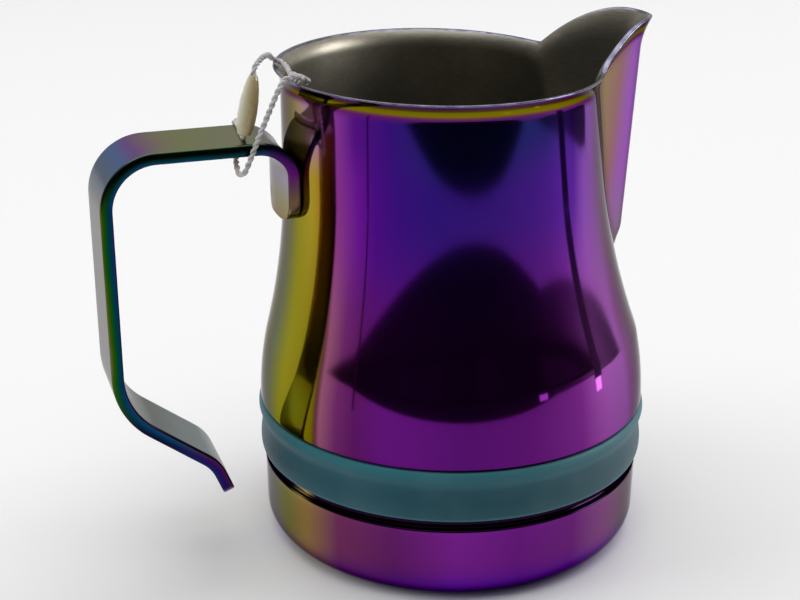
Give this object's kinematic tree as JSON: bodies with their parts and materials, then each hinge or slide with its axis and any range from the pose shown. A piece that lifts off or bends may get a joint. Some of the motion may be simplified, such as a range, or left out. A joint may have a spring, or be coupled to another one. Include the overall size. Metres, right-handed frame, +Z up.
{
  "type": "milk frothing pitcher",
  "caption": "Steel milk frothing pitcher with a bulging belly, narrow neck, pressed pouring spout, open strip handle and a silicone grip band in a groove above the base",
  "frame": {"origin": "centre of the base's contact plane, on the body's turning axis", "axes": "+Z up along the body's axis, +X toward the spout's tip, -X toward the handle, +Y to the left when looking along +X"},
  "size_m": [0.1184, 0.0844, 0.1107],
  "materials": {
    "coated_steel": "mirror-polished stainless steel with an interference coating that runs from violet through gold and green; brushed bare steel inside",
    "handle_steel": "polished stainless strip with the same coating, darker and greener on its edges",
    "weld_metal": "small pressed resistance-weld spots",
    "silicone": "matte teal silicone rubber",
    "cord_yarn": "grey-white waxed two-ply string",
    "clasp_plastic": "translucent ivory moulded plastic"
  },
  "bodies": {
    "pitcher": {"pitcher_body": "coated_steel", "handle": "handle_steel", "spot_welds": "weld_metal", "tag_cord": "cord_yarn", "cord_knot": "cord_yarn", "clasp_shell": "clasp_plastic", "clasp_plug": "clasp_plastic"},
    "band": {"silicone_band": "silicone"}
  },
  "joints": [
    {"name": "band_turn", "type": "hinge", "parent": "pitcher", "child": "band", "pos_m": [0, 0, 0.0246], "axis": [0, 0, 1], "continuous": true}
  ]
}
